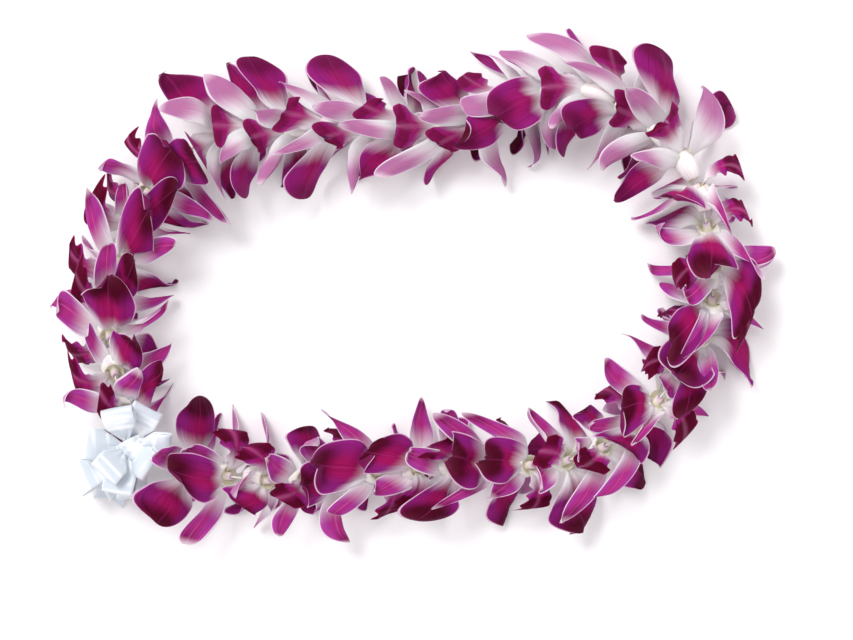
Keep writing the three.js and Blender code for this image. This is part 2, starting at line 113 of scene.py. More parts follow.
# what the finer blades have beyond the CAD model
ROW_SPACING = 1.6  # rows of a blade's points lie closer towards its tip
GROOVE_WIDTH = 0.16  # of the midrib's groove, in half widths of the blade
END_THINNING = 0.3  # how soon a blade gets thinner towards its root and tip
LOWEST = 0.02  # no point of a blade is lower than this
# soft folds: height, how fast they wave along and across, and how they follow the blade's own phase
FOLDS = ((1, 5.1, 3.2, 1), (1, -4.3, 5.7, 2.3), (0.7, 10, 1.6, 4.1), (0.5, 3, -9, 5.7))

# A bloom's blades. "at" is where they stand round the bloom, from its upper sepal on. "broadening" and
# "narrowing" shape the outline, and "waist" takes some of its width away halfway along. "root" is how far
# forward of the sheet they start, "rise" is how they stand there, "curl" is how they bend on from there
# and "tip" how their last part does. "twist" turns them about their middle line and "turn" does so more
# towards the tip, "sway" bends them sideways, and "cup", in radians, and "wave" are across them. A pair is
# a middle value and how far a draw strays from it; a draw for "cup", "turn" or "tip" is seldom far. "draw"
# is the number of a kind's first draw. The last line of each kind is finer than the CAD model: "frill" is
# how far the rims are ruffled, "frills" how often along the blade, "groove" how deep the midrib is sunk,
# and "crumple" how far the blade is folded at random.
SEPAL = SimpleNamespace(
    at=(0, 130, -130), length=48, half_width=9.2, broadening=0.6, narrowing=0.6, waist=0,
    root=-1.8, rise=(-8, 14), curl=(26, 90), tip=(20, 120), twist=(0, 40), turn=(0, 110), sway=(0, 11),
    cup=(0.5, 1.9), wave=2.2, ripple=5, stray=16, draw=10,
    rows=22, columns=11, thickness=0.8, frill=0.4, frills=9, groove=0.6, crumple=0.5,
)
PETAL = SimpleNamespace(
    at=(68, -68), length=47, half_width=18.5, broadening=1.1, narrowing=0.5, waist=0,
    root=0.6, rise=(6, 12), curl=(18, 65), tip=(-30, 90), twist=(0, 35), turn=(0, 60), sway=(0, 7),
    cup=(0.2, 1.3), wave=5.5, ripple=6, stray=16, draw=60,
    rows=24, columns=17, thickness=0.8, frill=1.1, frills=14, groove=0.8, crumple=1.4,
)
LIP = SimpleNamespace(
    at=(180,), length=34, half_width=14.5, broadening=0.9, narrowing=0.28, waist=0.3,
    root=0.8, rise=(36, 0), curl=(-55, 15), tip=(-40, 0), twist=(0, 15), turn=(0, 10), sway=(0, 0),
    cup=(0.7, 0.3), wave=3.0, ripple=9, stray=0, draw=110,
    rows=30, columns=25, thickness=0.7, frill=2.2, frills=30, groove=0.9, crumple=0.6,
)
KINDS = (SEPAL, PETAL, LIP)

# numbers of the draws for tones that aren't a blade's own
TUBE_TONE_DRAW = 400
BLOOM_TONE_DRAW = 500
LOOP_TONE_DRAW = 500
TAIL_TONE_DRAW = 520
BAND_TONE_DRAW = 540


# ---- the string's route

def route_table():
    """Arc length and place along the closed uniform cubic B-spline."""
    n = len(ROUTE)
    t = np.arange(ROUTE_SAMPLES + 1) / ROUTE_SAMPLES * n
    k = np.floor(t).astype(int)
    f = t - k
    weights = (
        (1 - f) ** 3 / 6,
        (3 * f ** 3 - 6 * f ** 2 + 4) / 6,
        (-3 * f ** 3 + 3 * f ** 2 + 3 * f + 1) / 6,
        f ** 3 / 6,
    )
    xy = sum(w[:, None] * ROUTE[(k + j - 1) % n] for j, w in enumerate(weights)) - ROUTE_CENTRE
    steps = np.hypot(*np.diff(xy, axis=0).T)
    return np.concatenate(([0], np.cumsum(steps))), xy


ROUTE_S, ROUTE_XY = route_table()
ROUTE_LENGTH = ROUTE_S[-1]


def on_route(s):
    """The points at arc length s."""
    at = np.mod(s, ROUTE_LENGTH)
    return np.stack([np.interp(at, ROUTE_S, ROUTE_XY[:, k]) for k in range(2)], -1)


def strand_to_world(s, x, height):
    """Points at arc length s, x outwards from the loop, at a height above the surface."""
    s, x, height = np.broadcast_arrays(np.asarray(s, float), x, height)
    way = on_route(s + DIRECTION_REACH) - on_route(s - DIRECTION_REACH)
    way /= np.linalg.norm(way, axis=-1, keepdims=True)
    # outwards is to the left of the clockwise route
    outwards = np.stack([-way[..., 1], way[..., 0]], -1)
    return np.concatenate([on_route(s) + x[..., None] * outwards, height[..., None]], -1)


# ---- a bloom's room

def noise(i, k):
    """A repeatable draw from 0 to 1, the same as in the CAD model."""
    v = math.sin(i * 12.9898 + k * 78.233) * 43758.5453
    return v - math.floor(v)


def spread(i, k, amount):
    return (2 * noise(i, k) - 1) * amount


def smooth_max(value, floor, softness):
    return floor + 0.5 * (value - floor + np.sqrt((value - floor) ** 2 + softness ** 2))


def smooth_step(value, low, high):
    t = np.clip((value - low) / (high - low), 0, 1)
    return t * t * (3 - 2 * t)


def bent_height(height):
    """The height of a point that may lie on the surface instead of going below it."""
    room = FLOOR_BEND - FLOOR_REST
    bent = FLOOR_REST + room * np.exp((np.minimum(height, FLOOR_BEND) - FLOOR_BEND) / room)
    return np.where(height >= FLOOR_BEND, height, bent)


def leaning(x, z):
    """How far along the string a fully leaning sheet has gone from its bloom's middle."""
    lost = bent_height(STRING_HEIGHT + z) - (STRING_HEIGHT + z)
    leant = smooth_max(z, LEAN_FLOOR, LEAN_ROUNDING) - smooth_max(0, LEAN_FLOOR, LEAN_ROUNDING)
    bent_over = LEAN * leant + LEAN_MORE * np.maximum(leant, 0) ** 2
    swept = SWEEP * (np.hypot(x, SWEEP_ROUNDING) - SWEEP_ROUNDING)
    return bent_over + swept + FLOOR_PUSH * lost


def funnel(x, z):
    """How far a bloom's sheet is opened out to its front."""
    return FUNNEL_DEPTH * (1 - np.exp(-np.hypot(x, z) / FUNNEL_REACH))


def sheet_place(bloom, x, z):
    """The arc length of a bloom's sheet, x outwards and z up from the string."""
    return bloom.s + bloom.lean * leaning(x, z) + FACING * funnel(x, z)


def nearness(i, place, reach):
    """How near bloom i is to the gap before the bloom at place, from 0 to 1."""
    return math.exp(-(((i + 0.5 - place) / reach) ** 2))


def place_blooms():
    """Every bloom's place on the string, and how it leans, is rolled and closes."""
    pitch = (ROUTE_LENGTH - BOW_GAP - MEETING_GAP - PARTING_GAP) / (BLOOM_COUNT - 3)
    placed = []
    s = BOW_GAP / 2
    for i in range(BLOOM_COUNT):
        if i == FIRST_LEANING_BACK:
            s += MEETING_GAP - pitch
        if i == FIRST_LEANING_ON:
            s += PARTING_GAP - pitch
        leans = -1 if FIRST_LEANING_BACK <= i < FIRST_LEANING_ON else 1
        meeting = nearness(i, FIRST_LEANING_BACK, MEETING_REACH)
        parting = nearness(i, FIRST_LEANING_ON, PARTING_REACH)
        upright = MEETING_UPRIGHT * meeting + PARTING_UPRIGHT * parting
        upright += BEFORE_BOW_UPRIGHT * math.exp(i + 1 - BLOOM_COUNT)
        placed.append(SimpleNamespace(
            index=i,
            s=s + spread(i, 1, PLACE_SPREAD),
            lean=leans * (1 - upright),
            roll=math.radians(ROLLS[i]),
            cupping=math.radians(MEETING_CUPPING * meeting),
            face_up=FACE_UP * leans * FACING * (1 + meeting),
            size=1 + spread(i, 2, SIZE_SPREAD),
        ))
        s += pitch
    return placed


BLOOMS = place_blooms()


def room_at(bloom, x, z, side):
    """How far a blade may go from its sheet towards the bloom before it (side -1) or after it (side 1)."""
    index = bloom.index + side
    if not 0 <= index < BLOOM_COUNT:
        return np.full(np.shape(x), OPEN_ROOM)
    other = BLOOMS[index]
    distance = side * (sheet_place(other, x, z) - sheet_place(bloom, x, z))
    return np.maximum(distance / 2 - CLEARANCE, LEAST_ROOM)


def bloom_to_world(bloom, ahead, x, z):
    """Points ahead of the bloom's sheet, held back softly from its neighbours and the surface."""
    along = FACING * ahead
    room = np.where(along < 0, room_at(bloom, x, z, -1), room_at(bloom, x, z, 1))
    along = room * np.tanh(along / room)
    return strand_to_world(sheet_place(bloom, x, z) + along, x, bent_height(STRING_HEIGHT + z))


# ---- a bloom's blades

def outline(kind, u):
    """A blade's half width at u along it, as a share of its largest."""
    widest = kind.broadening / (kind.broadening + kind.narrowing)
    plain = (u / widest) ** kind.broadening * ((1 - u) / (1 - widest)) ** kind.narrowing
    return plain * (1 - kind.waist * np.exp(-((u - WAIST_AT) / WAIST_LENGTH) ** 2))


def blade_shape(bloom, kind, k):
    """Blade k of a kind. Its azimuth is from straight up towards the outside of the loop."""
    def draw_number(quality):
        return kind.draw + 10 * quality + k

    def stray(quality):
        return spread(bloom.index, draw_number(quality), 1)

    def draw(pair, quality):
        return pair[0] + pair[1] * stray(quality)

    def seldom_far(pair, quality):
        return pair[0] + pair[1] * stray(quality) * abs(stray(quality))

    closing = 0 if kind is LIP else bloom.cupping
    folding = LIP_FOLD * bloom.lean if kind is LIP else 0
    return SimpleNamespace(
        rise=closing + math.radians(draw(kind.rise, 0)),
        curl=math.radians(draw(kind.curl, 1)) - folding,
        twist=math.radians(draw(kind.twist, 2)),
        cup=seldom_far(kind.cup, 3),
        azimuth=bloom.roll + math.radians(draw((kind.at[k], kind.stray), 4)),
        turn=math.radians(seldom_far(kind.turn, 5)),
        sway=draw(kind.sway, 14),
        tip=math.radians(seldom_far(kind.tip, 17)),
        tone=0.5 * noise(bloom.index, draw_number(20)) + 0.5 * noise(bloom.index, BLOOM_TONE_DRAW),
        phase=2 * math.pi * noise(bloom.index, draw_number(30)),
    )


def crumple(kind, phase, u, v):
    """Soft irregular folds, in millimetres, none at the root."""
    folds = sum(height * np.sin(along * u + across * v + shift * phase)
                for height, along, across, shift in FOLDS)
    return kind.crumple * folds * np.minimum(1, 2.5 * u)


def blade_grid(bloom, kind, shape):
    """The blade's middle surface, with u along it and v across it from -1 to 1."""
    c = math.cos(shape.azimuth)
    s = math.sin(shape.azimuth)
    slope = LEAN + 2 * LEAN_MORE * BLADE_MIDDLE * max(c, 0)
    slope_out = slope * max(c, 0) + SWEEP * abs(s)
    length = kind.length * bloom.size / math.hypot(1, slope_out * bloom.lean)
    half_width = kind.half_width * bloom.size / math.hypot(1, slope * s * bloom.lean)
    step = np.linspace(0, 1, kind.rows + 1)
    u = 1 - (1 - step) ** ROW_SPACING
    v = np.sin(np.linspace(-0.5, 0.5, kind.columns) * math.pi)
    # the midline bends more and more, and once more at the tip
    in_tip = np.clip((u - TIP_FROM) / (1 - TIP_FROM), 0, 1)
    tilt = shape.rise + shape.curl * u ** CURL_GROWTH + shape.tip * in_tip ** 2
    gaps = np.diff(u) * length
    middle = (tilt[1:] + tilt[:-1]) / 2
    radius = ROOT_RADIUS + np.concatenate(([0], np.cumsum(gaps * np.cos(middle))))
    ahead = kind.root + np.concatenate(([0], np.cumsum(gaps * np.sin(middle))))
    width = half_width * outline(kind, u)
    twist = (shape.twist - bloom.face_up * s) * np.minimum(1, 2 * u) + shape.turn * u ** 2
    u, radius, ahead, width, twist = (a[:, None] for a in (u, radius, ahead, width, twist))
    # the section is an arc, rolled by the cup at each rim
    rolled = shape.cup * v[None, :] * np.minimum(1, 2 * u)
    across = v[None, :] * width * np.sinc(rolled / math.pi)
    wave = kind.wave * np.sin(kind.ripple * u + 2 * v + shape.phase) * u
    bulge = v * width * np.sin(rolled / 2) * np.sinc(rolled / (2 * math.pi)) + wave * v ** 2
    # the rims are ruffled, but not near the root
    frill = kind.frill * np.sin(kind.frills * u + shape.phase + 3 * v)
    frill = frill * np.abs(v) ** 3 * smooth_step(u, 0.15, 0.6)
    groove = kind.groove * np.exp(-(v / GROOVE_WIDTH) ** 2) * np.sin(math.pi * u) ** 0.5
    ahead = ahead + bulge + frill - groove + crumple(kind, shape.phase, u, v) + across * np.sin(twist)
    sideways = across * np.cos(twist) + shape.sway * u ** 2
    x = radius * s + sideways * c
    z = radius * c - sideways * s
    return bloom_to_world(bloom, ahead, x, z), *np.broadcast_arrays(u, v)


def normals_of(grid):
    """Unit normals of a surface given as a grid of points."""
    along = np.gradient(grid, axis=0)
    across = np.gradient(grid, axis=1)
    normal = np.cross(along, across)
    return normal / np.maximum(np.linalg.norm(normal, axis=-1, keepdims=True), 1e-9)


class Build:
    """Collects the vertices and faces of one piece, with what its materials read."""

    def __init__(self):
        self.points = []
        self.faces = []
        self.slots = []
        self.attributes = {"along": [], "across": [], "tone": [], "back": []}
        self.count = 0

    def add(self, points, faces, slot, along, across, tone, back):
        points = np.asarray(points, float).reshape(-1, 3)
        n = len(points)
        self.points.append(points)
        self.faces.extend([i + self.count for i in face] for face in faces)
        self.slots.extend([slot] * len(faces))
        for name, values in (("along", along), ("across", across), ("tone", tone), ("back", back)):
            values = np.ravel(values)
            self.attributes[name].append(np.broadcast_to(values, n) if len(values) == 1 else values)
        self.count += n

    def finish(self, name, materials):
        mesh = bpy.data.meshes.new(name)
        mesh.from_pydata(np.concatenate(self.points) * MM, [], self.faces)
        for material in materials:
            mesh.materials.append(material)
        mesh.polygons.foreach_set("material_index", self.slots)
        for key, values in self.attributes.items():
            attribute = mesh.attributes.new(key, "FLOAT", "POINT")
            attribute.data.foreach_set("value", np.concatenate(values).astype(np.float32))
        mesh.shade_smooth()
        mesh.validate()
        piece = bpy.data.objects.new(name, mesh)
        bpy.context.scene.collection.objects.link(piece)
        return piece


def add_blade(build, grid, u, v, thickness, slot, tone):
    """A closed thin blade: its faces share the rims, and the root and tip are one point each."""
    rows, columns = grid.shape[:2]
    half = thickness / 2 * np.sqrt(np.clip(1 - v ** 2, 0, 1)) * np.sin(math.pi * u) ** END_THINNING
    off = normals_of(grid) * half[..., None]
    off[0] = 0
    off[-1] = 0
    front = grid + off
    back = grid - off
    front[..., 2] = np.maximum(front[..., 2], LOWEST)
    back[..., 2] = np.maximum(back[..., 2], LOWEST)
    inner = (slice(1, rows - 1), slice(1, columns - 1))
    points = [front[0, :1], front[-1, :1], front[1:-1, 0], front[1:-1, -1],
              front[inner].reshape(-1, 3), back[inner].reshape(-1, 3)]
    us = [[u[0, 0]], [u[-1, 0]], u[1:-1, 0], u[1:-1, -1], u[inner].ravel(), u[inner].ravel()]
    vs = [[0], [0], v[1:-1, 0], v[1:-1, -1], v[inner].ravel(), v[inner].ravel()]
    n = rows - 2
    m = columns - 2
    # 0 on the face that is added first, 1 on the other and 0.5 on the rims
    sides = [np.full(2 + 2 * n, 0.5), np.zeros(n * m), np.ones(n * m)]

    def number(face, i, j):
        if i == 0:
            return 0
        if i == rows - 1:
            return 1
        if j == 0:
            return 2 + i - 1
        if j == columns - 1:
            return 2 + n + i - 1
        return 2 + 2 * n + face * n * m + (i - 1) * m + j - 1

    faces = []
    for face in (0, 1):
        for i in range(rows - 1):
            for j in range(columns - 1):
                corners = ((i, j), (i + 1, j), (i + 1, j + 1), (i, j + 1))
                quad = [number(face, *corner) for corner in corners]
                quad = [q for k, q in enumerate(quad) if q != quad[k - 1]]
                faces.append(quad if face == 0 else quad[::-1])
    build.add(np.concatenate(points), faces, slot, np.concatenate(us), np.concatenate(vs), tone,
              np.concatenate(sides))


def add_ring(build, rings, slot, along, tone):
    """A ring-shaped body: rows of points round the string, the last joined to the first."""
    count, sides = rings.shape[:2]
    faces = []
    for i in range(count):
        for k in range(sides):
            a = i * sides + k
            b = i * sides + (k + 1) % sides
            above = ((i + 1) % count) * sides
            faces.append([a, b, above + (k + 1) % sides, above + k])
    turn = np.broadcast_to(np.linspace(-1, 1, sides), (count, sides))
    build.add(rings, faces, slot, np.repeat(along, sides), turn, tone, 0)


# ---- the tube and spur

# radius, how far ahead and bulge towards the lip, from the spur's end to the mouth, then along the column
TUBE_PROFILE = np.array([
    (1.6, -9.5, 0.0), (2.2, -10.2, 0.4), (3.2, -10.1, 0.8), (4.4, -8.8, 1.3), (5.5, -6.8, 1.7),
    (6.3, -4.4, 1.8), (6.7, -1.8, 1.6), (6.7, 0.8, 1.2), (6.5, 3.2, 0.7), (6.5, 5.4, 0.2),
    (6.0, 6.2, 0.0), (5.3, 5.6, 0.0), (4.4, 4.2, 0.0), (3.5, 3.2, 0.0), (2.7, 3.6, 0.0),
    (2.5, 5.0, 0.0), (2.4, 6.4, 0.0), (1.9, 7.3, 0.0), (1.2, 7.6, 0.0),
])
TUBE_SIDES = 18
TUBE_RIBS = 3
RIB_HEIGHT = 0.035  # as a share of the tube's radius
SPUR_END = -10  # here a tube doesn't lean,
MOUTH = 5.6  # and from there to here it leans more and more, at last as much as the blades


def add_tube(build, bloom, slot):
    """The bloom's spur, throat and column, as one ring-shaped body round the string."""
    lip = bloom.roll + math.pi
    angle = np.arange(TUBE_SIDES) / TUBE_SIDES * 2 * math.pi
    radius, ahead, bulge = (TUBE_PROFILE[:, k, None] for k in range(3))
    ribs = 1 + RIB_HEIGHT * np.cos(TUBE_RIBS * (angle - lip))
    x = radius * ribs * np.sin(angle) + bulge * math.sin(lip)
    z = radius * ribs * np.cos(angle) + bulge * math.cos(lip)
    share = np.clip((ahead - SPUR_END) / (MOUTH - SPUR_END), 0, 1)
    place = bloom.s + FACING * ahead + bloom.lean * leaning(x, z) * share
    rings = strand_to_world(place, x, STRING_HEIGHT + z)
    add_ring(build, rings, slot, np.linspace(0, 1, len(TUBE_PROFILE)), noise(bloom.index, TUBE_TONE_DRAW))


def make_bloom(bloom, materials):
    """One bloom of blades and tube; the materials are those of KINDS, then the tube's."""
    build = Build()
    add_tube(build, bloom, len(KINDS))
    for slot, kind in enumerate(KINDS):
        for k in range(len(kind.at)):
            shape = blade_shape(bloom, kind, k)
            grid, u, v = blade_grid(bloom, kind, shape)
            add_blade(build, grid, u, v, kind.thickness, slot, shape.tone)
    name = f"bloom_{bloom.index + 1:02d}"
    piece = build.finish(name + "_petals", materials)
    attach(piece, "root")
    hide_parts(name)


# ---- the ribbon bow

RIBBON_WIDTH = 19
RIBBON_THICKNESS = 0.3
LOOP_ROOT = 4.2  # how far from the bow's centre a strip starts
ROOT_WIDTH = 0.2  # as a share of the ribbon's width
SPREADING = 1.6  # how soon a strip has its full width
TAIL_PLACES = np.array([(0, 0), (0.3, 1), (0.65, -2), (1, 0)])  # share of a tail's length, and its rise
TAIL_SOFTENING = 9  # over how many rows its bends are rounded
TAIL_NOTCH = 5
BOW_PLACE = (4, 8, 6)  # along the string, outwards and up from it
STRIP_ROWS = 40
STRIP_COLUMNS = 13
PLEAT = 0.9  # depth of the gathers at the root
PLEATS = 2.5
LOOP_SHIFT = 2.1  # from one loop to the next the gathers are shifted by this angle
TAIL_SHIFT = 1.3
SOFT_WAVE = 0.25  # how far the ribbon waves where it is spread
BAND_SIZE = (10.4, 6.4)  # half the height and width of the band tied round the bow and the string
BAND_WIDTH = 11
BAND_NARROWING = 0.2  # its width changes by this share each way, from the bow's side to the string's
BAND_PLEAT = 0.45
BAND_WAVE = 0.3


def ribbon_strip(heading, pitch, roll, length, opening=0):
    """A loop or tail: heading counterclockwise from +X, pitch up from level, and how far a loop opens."""
    return SimpleNamespace(heading=heading, pitch=pitch, roll=roll, length=length, opening=opening)


LOOPS = [ribbon_strip(*row) for row in (
    (105, 24, -6, 22, 6), (230, 34, -6, 21, 6), (320, 24, 12, 17, 5),
    (258, 10, 4, 25, 6), (176, 10, 8, 24, 5), (356, 6, 14, 22, 5),
    (214, -14, 6, 37, 6), (272, -26, -4, 31, 5), (62, 0, 10, 22, 4),
)]
TAILS = [ribbon_strip(234, -34, 8, 38), ribbon_strip(247, -36, -6, 44)]


def turn_matrix(strip):
    """Turns a strip's own X, along it, to its heading and pitch."""
    angles = np.radians((strip.heading, -strip.pitch, strip.roll))
    c = np.cos(angles)
    s = np.sin(angles)
    about_z = np.array(((c[0], -s[0], 0), (s[0], c[0], 0), (0, 0, 1)))
    about_y = np.array(((c[1], 0, s[1]), (0, 1, 0), (-s[1], 0, c[1])))
    about_x = np.array(((1, 0, 0), (0, c[2], -s[2]), (0, s[2], c[2])))
    return about_z @ about_y @ about_x


def strip_grid(strip, share, rise, phase, notch=0.0):
    """A strip of ribbon from the bow's centre: share of its length out, and rise in its upright plane."""
    v = np.linspace(-1, 1, STRIP_COLUMNS)[None, :]
    share = share[:, None]
    rise = rise[:, None]
    out = LOOP_ROOT + strip.length * share
    tangent = np.stack([np.gradient(out[:, 0]), np.gradient(rise[:, 0])], -1)
    tangent /= np.linalg.norm(tangent, axis=1, keepdims=True)
    gather = np.minimum(1, ROOT_WIDTH + SPREADING * share)
    pleat = PLEAT * (1 - gather) * np.cos(PLEATS * math.pi * v + phase)
    pleat = pleat + SOFT_WAVE * gather * np.sin(2.2 * v + 7 * share + phase)
    x = out - tangent[:, 1:] * pleat - notch * (1 - np.abs(v)) * share ** 3
    z = rise + tangent[:, :1] * pleat
    y = v * RIBBON_WIDTH / 2 * gather
    centre = strand_to_world(BOW_PLACE[0], BOW_PLACE[1], STRING_HEIGHT + BOW_PLACE[2])
    return np.stack([x, y, z], -1) @ turn_matrix(strip).T + centre


def band_grid():
    """The band of ribbon tied round the bow's middle and the string."""
    angle = np.linspace(0, 2 * math.pi, STRIP_ROWS + 1)[:, None]
    v = np.linspace(-1, 1, STRIP_COLUMNS)[None, :]
    tilt = math.atan2(BOW_PLACE[2], BOW_PLACE[1])
    pleat = BAND_PLEAT * np.cos(3 * math.pi * v) + BAND_WAVE * np.sin(2 * angle + 2 * v)
    a = (BAND_SIZE[0] + pleat) * np.cos(angle)
    b = (BAND_SIZE[1] + pleat) * np.sin(angle)
    x = BOW_PLACE[1] / 2 + a * math.cos(tilt) - b * math.sin(tilt)
    z = BOW_PLACE[2] / 2 + a * math.sin(tilt) + b * math.cos(tilt)
    narrowed = 1 - BAND_NARROWING + BAND_NARROWING * np.cos(angle)
    s = BOW_PLACE[0] / 2 + v * BAND_WIDTH / 2 * narrowed
    return strand_to_world(s, x, STRING_HEIGHT + z)


def add_strip(build, grid, slot, tone):
    """A closed strip: the two faces of the ribbon, joined all round."""
    rows, columns = grid.shape[:2]
    off = normals_of(grid) * RIBBON_THICKNESS / 2
    half = rows * columns
    points = np.concatenate([(grid + off).reshape(-1, 3), (grid - off).reshape(-1, 3)])
    faces = []
    for i in range(rows - 1):
        for j in range(columns - 1):
            a = i * columns + j
            quad = [a, a + columns, a + columns + 1, a + 1]
            faces.append(quad)
            faces.append([half + q for q in quad[::-1]])
    rim = [i * columns for i in range(rows)]
    rim += [(rows - 1) * columns + j for j in range(1, columns)]
    rim += [i * columns + columns - 1 for i in range(rows - 2, -1, -1)]
    rim += [j for j in range(columns - 2, 0, -1)]
    for k, a in enumerate(rim):
        b = rim[(k + 1) % len(rim)]
        faces.append([b, a, half + a, half + b])
    steps = np.linalg.norm(np.diff(grid[:, columns // 2], axis=0), axis=1)
    along = np.repeat(np.concatenate(([0], np.cumsum(steps))), columns)
    across = np.tile(np.linspace(-1, 1, columns), rows)
    build.add(points, faces, slot, np.tile(along, 2), np.tile(across, 2), tone, 0)


def make_bow(material):
    """The whole ribbon: loops, tails and the band."""
    build = Build()
    angle = np.linspace(0, 2 * math.pi, STRIP_ROWS + 1)
    share = (1 - np.cos(angle)) / 2
    for k, loop in enumerate(LOOPS):
        rise = loop.opening * np.sin(angle) * share
        add_strip(build, strip_grid(loop, share, rise, LOOP_SHIFT * k), 0, noise(k, LOOP_TONE_DRAW))
    share = np.linspace(0, 1, STRIP_ROWS + 1)
    for k, tail in enumerate(TAILS):
        rise = np.interp(share, TAIL_PLACES[:, 0], TAIL_PLACES[:, 1])
        padded = np.pad(rise, TAIL_SOFTENING // 2, "edge")
        rise = np.convolve(padded, np.ones(TAIL_SOFTENING) / TAIL_SOFTENING, "valid")
        grid = strip_grid(tail, share, rise, TAIL_SHIFT * k, TAIL_NOTCH)
        add_strip(build, grid, 0, noise(k, TAIL_TONE_DRAW))
    add_strip(build, band_grid(), 0, noise(0, BAND_TONE_DRAW))
    piece = build.finish("ribbon_bow_satin", [material])
    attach(piece, "root")
    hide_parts("ribbon_bow")


# ---- the string

THREAD_STEP = 0.7
THREAD_SIDES = 8
THREAD_PITCH = 3.2
THREAD_TWIST = 0.13  # how far its two strands stand out, as a share of its radius


def make_string(material):
    """The thread, twisted from two strands."""
    count = int(ROUTE_LENGTH / THREAD_STEP)
    s = (np.arange(count) / count * ROUTE_LENGTH)[:, None]
    turns = round(ROUTE_LENGTH / THREAD_PITCH)
    angle = (np.arange(THREAD_SIDES) / THREAD_SIDES * 2 * math.pi)[None, :]
    twist = 2 * angle - 2 * math.pi * turns * s / ROUTE_LENGTH
    radius = STRING_RADIUS * (1 + THREAD_TWIST * np.cos(twist))
    rings = strand_to_world(s, radius * np.sin(angle), STRING_HEIGHT + radius * np.cos(angle))
    build = Build()
    add_ring(build, rings, 0, s[:, 0], 0.5)
    piece = build.finish("string_thread", [material])
    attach(piece, "root")
    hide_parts("string")


# ---- materials

def colour(r, g, b):
    """An sRGB colour from 0 to 255, as Blender's linear one."""
    values = np.array((r, g, b)) / 255
    linear = np.where(values <= 0.04045, values / 12.92, ((values + 0.055) / 1.055) ** 2.4)
    return (*linear, 1)


class Shader:
    """A procedural material, put together from small functions that return sockets."""

    def __init__(self, name, roughness, **constants):
        self.material = bpy.data.materials.new(name)
        self.material.use_nodes = True
        self.tree = self.material.node_tree
        self.surface = self.tree.nodes["Principled BSDF"]
        self.surface.inputs["Roughness"].default_value = roughness
        for key, value in constants.items():
            self.surface.inputs[key.replace("_", " ").title().replace("Ior", "IOR")].default_value = value

    def put(self, socket, value):
        if isinstance(value, bpy.types.NodeSocket):
            self.tree.links.new(value, socket)
        else:
            socket.default_value = value

    def node(self, kind, **settings):
        node = self.tree.nodes.new(kind)
        for key, value in settings.items():
            setattr(node, key, value)
        return node

    def attribute(self, name):
        return self.node("ShaderNodeAttribute", attribute_name=name).outputs["Fac"]

    def math(self, operation, a, b=0.0):
        node = self.node("ShaderNodeMath", operation=operation)
        for socket, value in zip(node.inputs, (a, b)):
            self.put(socket, value)
        return node.outputs[0]

    def times(self, a, b):
        return self.math("MULTIPLY", a, b)

    def plus(self, total, value, share):
        """The total with a share of the value added."""
        return self.math("ADD", total, self.times(value, share))

    def smooth(self, value, low, high, to_low=0.0, to_high=1.0):
        node = self.node("ShaderNodeMapRange", interpolation_type="SMOOTHSTEP")
        for key, item in (("Value", value), ("From Min", low), ("From Max", high),
                          ("To Min", to_low), ("To Max", to_high)):
            self.put(node.inputs[key], item)
        return node.outputs[0]

    def mix(self, share, a, b):
        node = self.node("ShaderNodeMix", data_type="RGBA")
        self.put(node.inputs["Factor"], share)
        colours = [socket for socket in node.inputs if socket.type == "RGBA"]
        self.put(colours[0], a)
        self.put(colours[1], b)
        return next(socket for socket in node.outputs if socket.type == "RGBA")

    def vector(self, x, y, z):
        node = self.node("ShaderNodeCombineXYZ")
        for socket, value in zip(node.inputs, (x, y, z)):
            self.put(socket, value)
        return node.outputs[0]

    def noise(self, vector, scale, detail=2.0):
        node = self.node("ShaderNodeTexNoise")
        self.put(node.inputs["Vector"], vector)
        self.put(node.inputs["Scale"], scale)
        self.put(node.inputs["Detail"], detail)
        return node.outputs["Fac"]

    def bump(self, height, distance, strength):
        node = self.node("ShaderNodeBump")
        self.put(node.inputs["Height"], height)
        node.inputs["Distance"].default_value = distance
        node.inputs["Strength"].default_value = strength
        self.put(self.surface.inputs["Normal"], node.outputs[0])

    def paint(self, value):
        self.put(self.surface.inputs["Base Color"], value)


WHITE_BASE = colour(243, 242, 243)
GREEN_HEART = colour(222, 228, 196)
PETAL_SHEEN = colour(190, 80, 200)
# patterns on a blade: how fine across it, how fine along it, and their detail
CLOUDS = (1.6, 2.4, 2.0)
STREAKS = (7.0, 1.1, 3.0)
VEINS = (24.0, 1.6, 2.0)
# how much further out the white reaches in streaks and at the rims
STREAK_REACH = 0.12
RIM_REACH = 0.08
# what the deep colour's depth is mixed from
CLOUD_DEPTH = 0.7
STREAK_DEPTH = 0.4
TONE_DEPTH = 1.2


def blade_inputs(shader):
    """What a blade's colours depend on: the place on it, its own tone and its patterns."""
    along = shader.attribute("along")
    across = shader.attribute("across")
    tone = shader.attribute("tone")
    back = shader.attribute("back")
    rim = shader.math("ABSOLUTE", across)
    far = shader.times(tone, 37.0)  # so that no two blades have the same pattern

    def pattern(fine_across, fine_along, detail):
        x = shader.times(across, fine_across)
        y = shader.times(along, fine_along)
        return shader.noise(shader.vector(x, y, far), 1.0, detail)

    return SimpleNamespace(along=along, tone=tone, back=back, rim=rim, clouds=pattern(*CLOUDS),
                           streaks=pattern(*STREAKS), veins=pattern(*VEINS))


